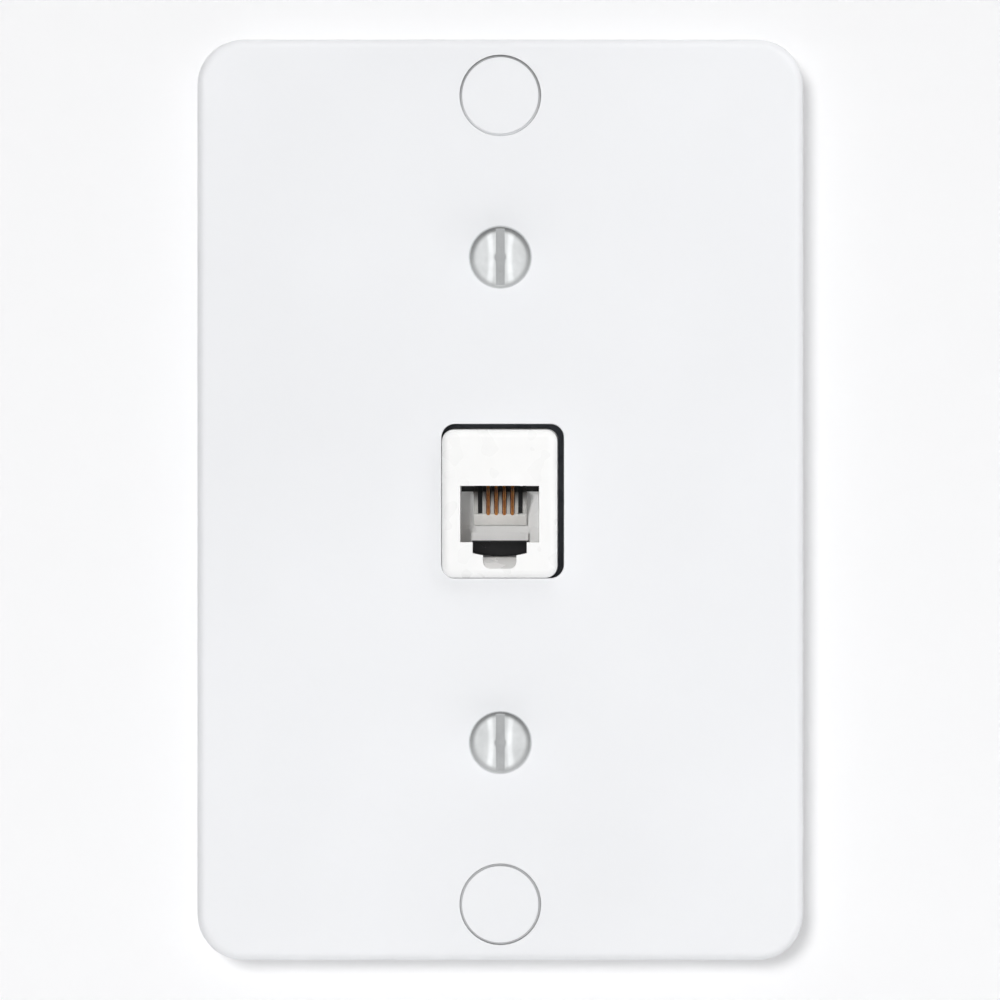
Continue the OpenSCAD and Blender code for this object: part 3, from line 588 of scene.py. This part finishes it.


# Cleaner white and glossier than the plate, with 3 mm flow marks. Near-black painted shade
# fills three hollows: the latch notch, the groove under the roof and the space behind the
# comb's slots. The three places are given as ranges of x, y and z in millimetres; in the notch
# the painted shade gets darker with depth.
NOTCH = ((-3.6, 3.6), (-10.0, 8.0), (-7.25, -5.15))
NOTCH_FADE = (-7.8, -3.0)
GROOVE = ((-20.0, 20.0), (2.1, 6.1), (1.03, 1.87))
BEHIND_SLOTS = ((-3.3, 3.3), (1.95, 6.05), (-1.7, 1.9))

pc_white, tree, shader, place = start_material("moulded white polycarbonate", IOR=1.58)
flow = add_node(tree, "TexNoise", values={"Scale": 1 / 0.003, "Detail": 1},
                links={"Vector": place})
tint = add_node(tree, "ValToRGB", links={"Fac": flow.outputs[0]})
darker, paler = tint.color_ramp.elements
darker.position, darker.color = 0.25, linear("#fafaf9")
paler.position, paler.color = 0.75, linear("#fdfdfc")
parts = add_node(tree, "SeparateXYZ", links={0: place})
shade_mask = add_node(tree, "MapRange", links={"Value": parts.outputs["Y"]},
                 interpolation_type="SMOOTHSTEP",
                 values={"From Min": NOTCH_FADE[0] * MM, "From Max": NOTCH_FADE[1] * MM})
for joined, ranges in (("MULTIPLY", NOTCH), ("MAXIMUM", GROOVE), ("MAXIMUM", BEHIND_SLOTS)):
    pocket = None
    for axis, (low, high) in zip("XYZ", ranges):
        within = add_node(tree, "Math", operation="COMPARE", links={0: parts.outputs[axis]},
                          values={1: (low + high) / 2 * MM, 2: (high - low) / 2 * MM})
        pocket = within if not pocket else add_node(
            tree, "Math", operation="MULTIPLY",
            links={0: pocket.outputs[0], 1: within.outputs[0]})
    shade_mask = add_node(tree, "Math", operation=joined,
                     links={0: shade_mask.outputs[0], 1: pocket.outputs[0]})
# The near-black mixed in here is painted shade in the socket's hollows.
shaded = add_node(tree, "Mix", data_type="RGBA",
                  links={0: shade_mask.outputs[0], 6: tint.outputs[0]},
                  values={7: linear("#18181a")})
tree.links.new(shaded.outputs[2], shader.inputs["Base Color"])
sheen = add_node(tree, "MapRange", links={"Value": flow.outputs[0]},
                 values={"To Min": 0.25, "To Max": 0.31})
tree.links.new(sheen.outputs[0], shader.inputs["Roughness"])
ripple = add_node(tree, "Bump", values={"Strength": 0.03, "Distance": 0.0001},
                  links={"Height": flow.outputs[0]})
tree.links.new(ripple.outputs[0], shader.inputs["Normal"])

housing = copy_of("socket_moulding", "jack_housing")
bpy.ops.object.mode_set(mode="EDIT")
bpy.ops.mesh.select_all(action="SELECT")
bpy.ops.transform.translate(value=(-SOCKET_PLAY * MM, 0, -SOCKET_PLAY * MM))
bpy.ops.object.mode_set(mode="OBJECT")
cut_groove(housing, *SOCKET_GROOVE)
round_edges(housing, 0.08)
stand_for(housing, "jack_housing", pc_white)

# Contact comb. An insert in natural nylon, slid into the socket from behind,
# whose fins hold the four spring wires apart. The two outer slots are empty.
# Nylon is a warm, slightly mottled white; towards the roof and in the groove it is painted dark
# as shade.
COMB_GROOVE = (-5.8, 1.0)
COMB_SHADE_FROM, COMB_SHADE_TO = -1.2, 1.1

nylon, tree, shader, place = start_material("moulded natural nylon", IOR=1.53)
mottle = add_node(tree, "TexNoise", values={"Scale": 1 / 0.0012, "Detail": 3},
                  links={"Vector": place})
tint = add_node(tree, "ValToRGB", links={"Fac": mottle.outputs[0]})
darker, paler = tint.color_ramp.elements
darker.position, darker.color = 0.3, linear("#dfdfdc")
paler.position, paler.color = 0.7, linear("#ebebe8")
parts = add_node(tree, "SeparateXYZ", links={0: place})
shade_mask = add_node(tree, "MapRange", links={"Value": parts.outputs["Z"]},
                 interpolation_type="SMOOTHSTEP",
                 values={"From Min": COMB_SHADE_FROM * MM, "From Max": COMB_SHADE_TO * MM})
# The dark grey mixed in here is painted shade under the roof.
shaded = add_node(tree, "Mix", data_type="RGBA",
                  links={0: shade_mask.outputs[0], 6: tint.outputs[0]},
                  values={7: linear("#3c3a38")})
tree.links.new(shaded.outputs[2], shader.inputs["Base Color"])
sheen = add_node(tree, "MapRange", links={"Value": mottle.outputs[0]},
                 values={"To Min": 0.38, "To Max": 0.52})
tree.links.new(sheen.outputs[0], shader.inputs["Roughness"])

comb = copy_of("comb_moulding", "contact_comb")
cut_groove(comb, *COMB_GROOVE)
round_edges(comb, 0.04)
stand_for(comb, "contact_comb", nylon)

# Contact wires. Four lengths of spring wire drawn from phosphor bronze, plated
# with gold, and bent back from the socket's mouth to slope into its opening.
# Heights in millimetres over which the wires' painted shade fades in towards the roof.
ROOF_SHADE_FROM, ROOF_SHADE_TO = 0.6, 1.5

# The gold is warmer in patches of about 1 mm, where plugs have rubbed it, and painted dark
# brown towards the roof as shade. Lines that the drawing die left run along the wire and break
# its shine into streaks.
gold, tree, shader, place = start_material("gold-plated drawn wire", Metallic=1.0)
rubbed = add_node(tree, "TexNoise", values={"Scale": 1 / 0.001, "Detail": 2},
                  links={"Vector": place})
tint = add_node(tree, "ValToRGB", links={"Fac": rubbed.outputs[0]})
darker, paler = tint.color_ramp.elements
darker.position, darker.color = 0.35, linear("#b7661f")
paler.position, paler.color = 0.65, linear("#d28a2e")
parts = add_node(tree, "SeparateXYZ", links={0: place})
tarnish_and_shade = add_node(tree, "MapRange", links={"Value": parts.outputs["Z"]},
                   interpolation_type="SMOOTHSTEP",
                   values={"From Min": ROOF_SHADE_FROM * MM, "From Max": ROOF_SHADE_TO * MM,
                           "To Max": 0.8})
# The dark brown mixed in here is painted shade under the roof.
roof_shaded = add_node(tree, "Mix", data_type="RGBA",
                     links={0: tarnish_and_shade.outputs[0], 6: tint.outputs[0]},
                     values={7: linear("#4a2f12")})
tree.links.new(roof_shaded.outputs[2], shader.inputs["Base Color"])
die_lines = add_node(tree, "TexNoise", noise_dimensions="1D",
                     values={"Scale": 1 / 0.00004, "Detail": 1},
                     links={"W": parts.outputs["X"]})
sheen = add_node(tree, "MapRange", links={"Value": die_lines.outputs[0]},
                 values={"To Min": 0.22, "To Max": 0.36})
tree.links.new(sheen.outputs[0], shader.inputs["Roughness"])
for number in range(1, 5):
    wire = frame["nodes"]["contact_wire_%d" % number]
    wire.data.materials.clear()
    wire.data.materials.append(gold)

# Terminal base. A grey ABS block, moulded in a spark-eroded mould, which traps
# the socket's shoulder against the bracket and carries the four terminals. The
# mould's 0.15 mm pits give it a dull, even texture.
grey_abs, tree, shader, place = start_material("spark-textured grey ABS", IOR=1.53)
clouds = add_node(tree, "TexNoise", values={"Scale": 1 / 0.02, "Detail": 2},
                  links={"Vector": place})
tint = add_node(tree, "ValToRGB", links={"Fac": clouds.outputs[0]})
darker, paler = tint.color_ramp.elements
darker.position, darker.color = 0.35, linear("#c3c4c2")
paler.position, paler.color = 0.65, linear("#cccdca")
tree.links.new(tint.outputs[0], shader.inputs["Base Color"])
pits = add_node(tree, "TexNoise", values={"Scale": 1 / 0.00015, "Detail": 2},
                links={"Vector": place})
sheen = add_node(tree, "MapRange", links={"Value": pits.outputs[0]},
                 values={"To Min": 0.45, "To Max": 0.65})
tree.links.new(sheen.outputs[0], shader.inputs["Roughness"])
rough = add_node(tree, "Bump", values={"Strength": 0.3, "Distance": 0.00004},
                 links={"Height": pits.outputs[0]})
tree.links.new(rough.outputs[0], shader.inputs["Normal"])

base = copy_of("terminal_base_moulding", "terminal_base")
round_edges(base, 0.2)
stand_for(base, "terminal_base", grey_abs)

# Base screws. Two slotted steel screws, turned, rolled with a thread and zinc
# plated, hold the terminal base to the bracket. Bright zinc is bluish, with
# cloudy patches of 1 to 2 mm.
BASE_SCREW_X = 17
BASE_SCREW_TOP = 2.6
BASE_SCREW_SLOT = (1.0, 1.4, 8)
MIDDLE_Z = -0.4

zinc, tree, shader, place = start_material("bright zinc-plated steel", Metallic=1.0)
bloom = add_node(tree, "TexNoise", values={"Scale": 1 / 0.0015, "Detail": 3},
                 links={"Vector": place})
tint = add_node(tree, "ValToRGB", links={"Fac": bloom.outputs[0]})
darker, paler = tint.color_ramp.elements
darker.position, darker.color = 0.35, linear("#b0b6bd")
paler.position, paler.color = 0.65, linear("#c8ccd0")
tree.links.new(tint.outputs[0], shader.inputs["Base Color"])
sheen = add_node(tree, "MapRange", links={"Value": bloom.outputs[0]},
                 values={"To Min": 0.22, "To Max": 0.42})
tree.links.new(sheen.outputs[0], shader.inputs["Roughness"])

base_screw_outline = (
    [(0, -7.0), (0.9, -7.0)] + thread(1.45, -6.8, 0.9) + [(1.35, 1.0), (1.35, 1.2), (2.7, 1.2)]
    + arc(2.7, 1.3, 0.1, -60, 0, 2) + arc(2.5, 1.6, 0.3, 0, 90, 5)
    + arc(0, -1.207, 3.807, 49, 90, 8)
)
for side, x in (("left", -BASE_SCREW_X), ("right", BASE_SCREW_X)):
    screw = turned("base_screw_steel_" + side, base_screw_outline, x, MIDDLE_Z, 48)
    cut_slot(screw, (x, -BASE_SCREW_TOP, MIDDLE_Z), BASE_SCREW_SLOT)
    round_edges(screw, 0.06)
    stand_for(screw, "base_screw_" + side, zinc)

# Terminals. At each of the four, a slotted brass screw clamps a steel washer on
# a spade lug, and on the building's wire with it. The screws are turned, so fine
# rings run round their heads.
TERMINAL_X = 17
TERMINAL_Z = 15
TERMINAL_TOP = -12.9
TERMINAL_SLOT = (1.0, 1.8, 9)
SLOT_TURNS = (30, 70, 110, 150)
CORNERS = ((-1, -1), (-1, 1), (1, -1), (1, 1))

brass, tree, shader, place = start_material("turned bright brass", Metallic=1.0)
parts = add_node(tree, "SeparateXYZ", links={0: place})
across = add_node(tree, "Math", operation="ABSOLUTE", links={0: parts.outputs["X"]})
across = add_node(tree, "Math", operation="SUBTRACT", links={0: across.outputs[0]},
                  values={1: TERMINAL_X * MM})
height = add_node(tree, "Math", operation="SUBTRACT", links={0: parts.outputs["Z"]},
                  values={1: MIDDLE_Z * MM})
height = add_node(tree, "Math", operation="ABSOLUTE", links={0: height.outputs[0]})
height = add_node(tree, "Math", operation="SUBTRACT", links={0: height.outputs[0]},
                  values={1: TERMINAL_Z * MM})
flat = add_node(tree, "CombineXYZ", links={"X": across.outputs[0], "Z": height.outputs[0]})
reach = add_node(tree, "VectorMath", operation="LENGTH", links={0: flat.outputs[0]})
rings = add_node(tree, "TexNoise", noise_dimensions="1D",
                 values={"Scale": 1 / 0.00012, "Detail": 2},
                 links={"W": reach.outputs["Value"]})
tarnish_and_shade = add_node(tree, "TexNoise", values={"Scale": 1 / 0.002, "Detail": 3},
                   links={"Vector": place})
tint = add_node(tree, "ValToRGB", links={"Fac": tarnish_and_shade.outputs[0]})
darker, paler = tint.color_ramp.elements
darker.position, darker.color = 0.3, linear("#c0984c")
paler.position, paler.color = 0.7, linear("#dcc07e")
tree.links.new(tint.outputs[0], shader.inputs["Base Color"])
sheen = add_node(tree, "MapRange", links={"Value": rings.outputs[0]},
                 values={"To Min": 0.2, "To Max": 0.38})
tree.links.new(sheen.outputs[0], shader.inputs["Roughness"])
lines = add_node(tree, "Bump", values={"Strength": 0.12, "Distance": 0.00002},
                 links={"Height": rings.outputs[0]})
tree.links.new(lines.outputs[0], shader.inputs["Normal"])

terminal_screw_outline = (
    [(0, -4.6), (1.1, -4.6)] + thread(1.7, -4.9, -10.5)
    + [(1.6, -10.7), (1.6, -10.9), (3.05, -10.9)]
    + arc(3.05, -11.05, 0.15, 60, 0, 3) + arc(2.9, -11.6, 0.3, 0, -90, 6)
    + arc(0, -8.195, 4.705, -52.2, -90, 10)
)
washer_outline = (
    [(1.8, -10.2), (1.9, -10.1), (3.6, -10.1)]
    + arc(3.6, -10.3, 0.2, 90, 0, 4) + arc(3.6, -10.7, 0.2, 0, -90, 4)
    + [(3.45, -10.83), (3.3, -10.9), (1.9, -10.9), (1.8, -10.8), (1.8, -10.2)]
)
for number, (right, up) in enumerate(CORNERS):
    x, z = right * TERMINAL_X, MIDDLE_Z + up * TERMINAL_Z
    screw = turned("terminal_screw_brass_%d" % (number + 1), terminal_screw_outline, x, z, 48)
    cut_slot(screw, (x, -TERMINAL_TOP, z), TERMINAL_SLOT, SLOT_TURNS[number])
    round_edges(screw, 0.07)
    stand_for(screw, "terminal_screw_%d" % (number + 1), brass)
    washer = turned("clamp_washer_steel_%d" % (number + 1), washer_outline, x, z, 48)
    round_edges(washer, 0.03, angle=60)
    stand_for(washer, "clamp_washer_%d" % (number + 1), zinc)

# Spade lugs. Forks stamped from tinned copper sheet, their barrels rolled round
# the ends of the leads and crimped with two dents. Some strands stick out.
LUG_NECK = 4.6
LUG_DEPTH = 10.75
BARREL_R = 1.25
WIRE_ROW_Z = 2.9
ROW_RISE = 2.2
WIRE_PITCH = 1.02
DENT_R = 0.55
DENTS_AT = (1.1, 2.5)
STRAND_R = 0.15
STRANDS = 7

# Dull silver, streaked by the dip in molten tin every millimetre or so.
tin, tree, shader, place = start_material("dipped tin on copper", Metallic=1.0)
streaks = add_node(tree, "TexNoise",
                   values={"Scale": 1 / 0.001, "Detail": 4, "Distortion": 1.2},
                   links={"Vector": place})
tint = add_node(tree, "ValToRGB", links={"Fac": streaks.outputs[0]})
darker, paler = tint.color_ramp.elements
darker.position, darker.color = 0.3, linear("#b9bdbf")
paler.position, paler.color = 0.7, linear("#d4d6d7")
tree.links.new(tint.outputs[0], shader.inputs["Base Color"])
sheen = add_node(tree, "MapRange", links={"Value": streaks.outputs[0]},
                 values={"To Min": 0.26, "To Max": 0.5})
tree.links.new(sheen.outputs[0], shader.inputs["Roughness"])
skin = add_node(tree, "Bump", values={"Strength": 0.15, "Distance": 0.00004},
                links={"Height": streaks.outputs[0]})
tree.links.new(skin.outputs[0], shader.inputs["Normal"])

for number, (right, up) in enumerate(CORNERS):
    x, z = right * TERMINAL_X, MIDDLE_Z + up * TERMINAL_Z
    lead_x = (number - 1.5) * WIRE_PITCH
    lead_z = WIRE_ROW_Z + (ROW_RISE if number % 2 else 0)
    slope = math.atan2(z - lead_z, x - lead_x)
    along = Vector((math.cos(slope), 0, math.sin(slope)))
    screw_at = Vector((x, LUG_DEPTH, z))
    lug = copy_of("spade_lug_tinned_%d" % (number + 1), "spade_lug_%d" % (number + 1))
    for reach in DENTS_AT:
        deselect()
        bpy.ops.mesh.primitive_cylinder_add(
            vertices=24, radius=DENT_R * MM, depth=4 * MM, rotation=(0, -slope, 0),
            location=(screw_at - along * (LUG_NECK + reach)
                      + Vector((0, BARREL_R + 0.3, 0))) * MM)
        carve(lug, bpy.context.object)
    round_edges(lug, 0.06)
    stand_for(lug, "spade_lug_%d" % (number + 1), tin)

    deselect()
    for strand in range(STRANDS):
        turn = 2 * math.pi * strand / (STRANDS - 1)
        spread = 0 if strand == STRANDS - 1 else 2.1 * STRAND_R
        length = 0.9 - 0.12 * (strand % 3)
        sideways = Vector((-along.z, 0, along.x))
        middle = screw_at - along * (LUG_NECK + 0.2 - length / 2)
        middle += sideways * spread * math.cos(turn) + Vector((0, spread * math.sin(turn), 0))
        bpy.ops.mesh.primitive_cylinder_add(
            vertices=12, radius=STRAND_R * MM, depth=length * MM, location=middle * MM,
            rotation=(0, math.pi / 2 - slope, 0))
    for piece in bpy.data.objects:
        piece.select_set(piece.name.startswith("Cylinder"))
    bpy.ops.object.join()
    strands = bpy.context.object
    strands.name = "lead_strands_%d" % (number + 1)
    bpy.ops.object.transform_apply(location=True, rotation=True, scale=True)
    round_edges(strands, 0.04, 2, 60)
    strands.data.materials.append(tin)
    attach(strands, "root")

# Leads. Stranded copper drawn through an extruder that coats it with coloured
# PVC, one colour for each contact. The jacket shows the strands' lay as slow
# ripples, about 2 mm apart, and a soft, waxy sheen.
JACKETS = {
    "black": ("#19191b", "#232325"),
    "red": ("#a81d1c", "#b92824"),
    "green": ("#1a7238", "#218143"),
    "yellow": ("#dbb41d", "#e8c432"),
}
for colour_name, (dark, pale) in JACKETS.items():
    pvc, tree, shader, place = start_material("extruded %s PVC" % colour_name, IOR=1.53)
    ripples = add_node(tree, "TexNoise", values={"Scale": 1 / 0.002, "Detail": 2},
                       links={"Vector": place})
    tint = add_node(tree, "ValToRGB", links={"Fac": ripples.outputs[0]})
    darker, paler = tint.color_ramp.elements
    darker.position, darker.color = 0.35, linear(dark)
    paler.position, paler.color = 0.65, linear(pale)
    tree.links.new(tint.outputs[0], shader.inputs["Base Color"])
    sheen = add_node(tree, "MapRange", links={"Value": ripples.outputs[0]},
                     values={"To Min": 0.34, "To Max": 0.5})
    tree.links.new(sheen.outputs[0], shader.inputs["Roughness"])
    lay = add_node(tree, "Bump", values={"Strength": 0.2, "Distance": 0.0001},
                   links={"Height": ripples.outputs[0]})
    tree.links.new(lay.outputs[0], shader.inputs["Normal"])
    lead = frame["nodes"]["lead_" + colour_name]
    lead.data.materials.clear()
    lead.data.materials.append(pvc)
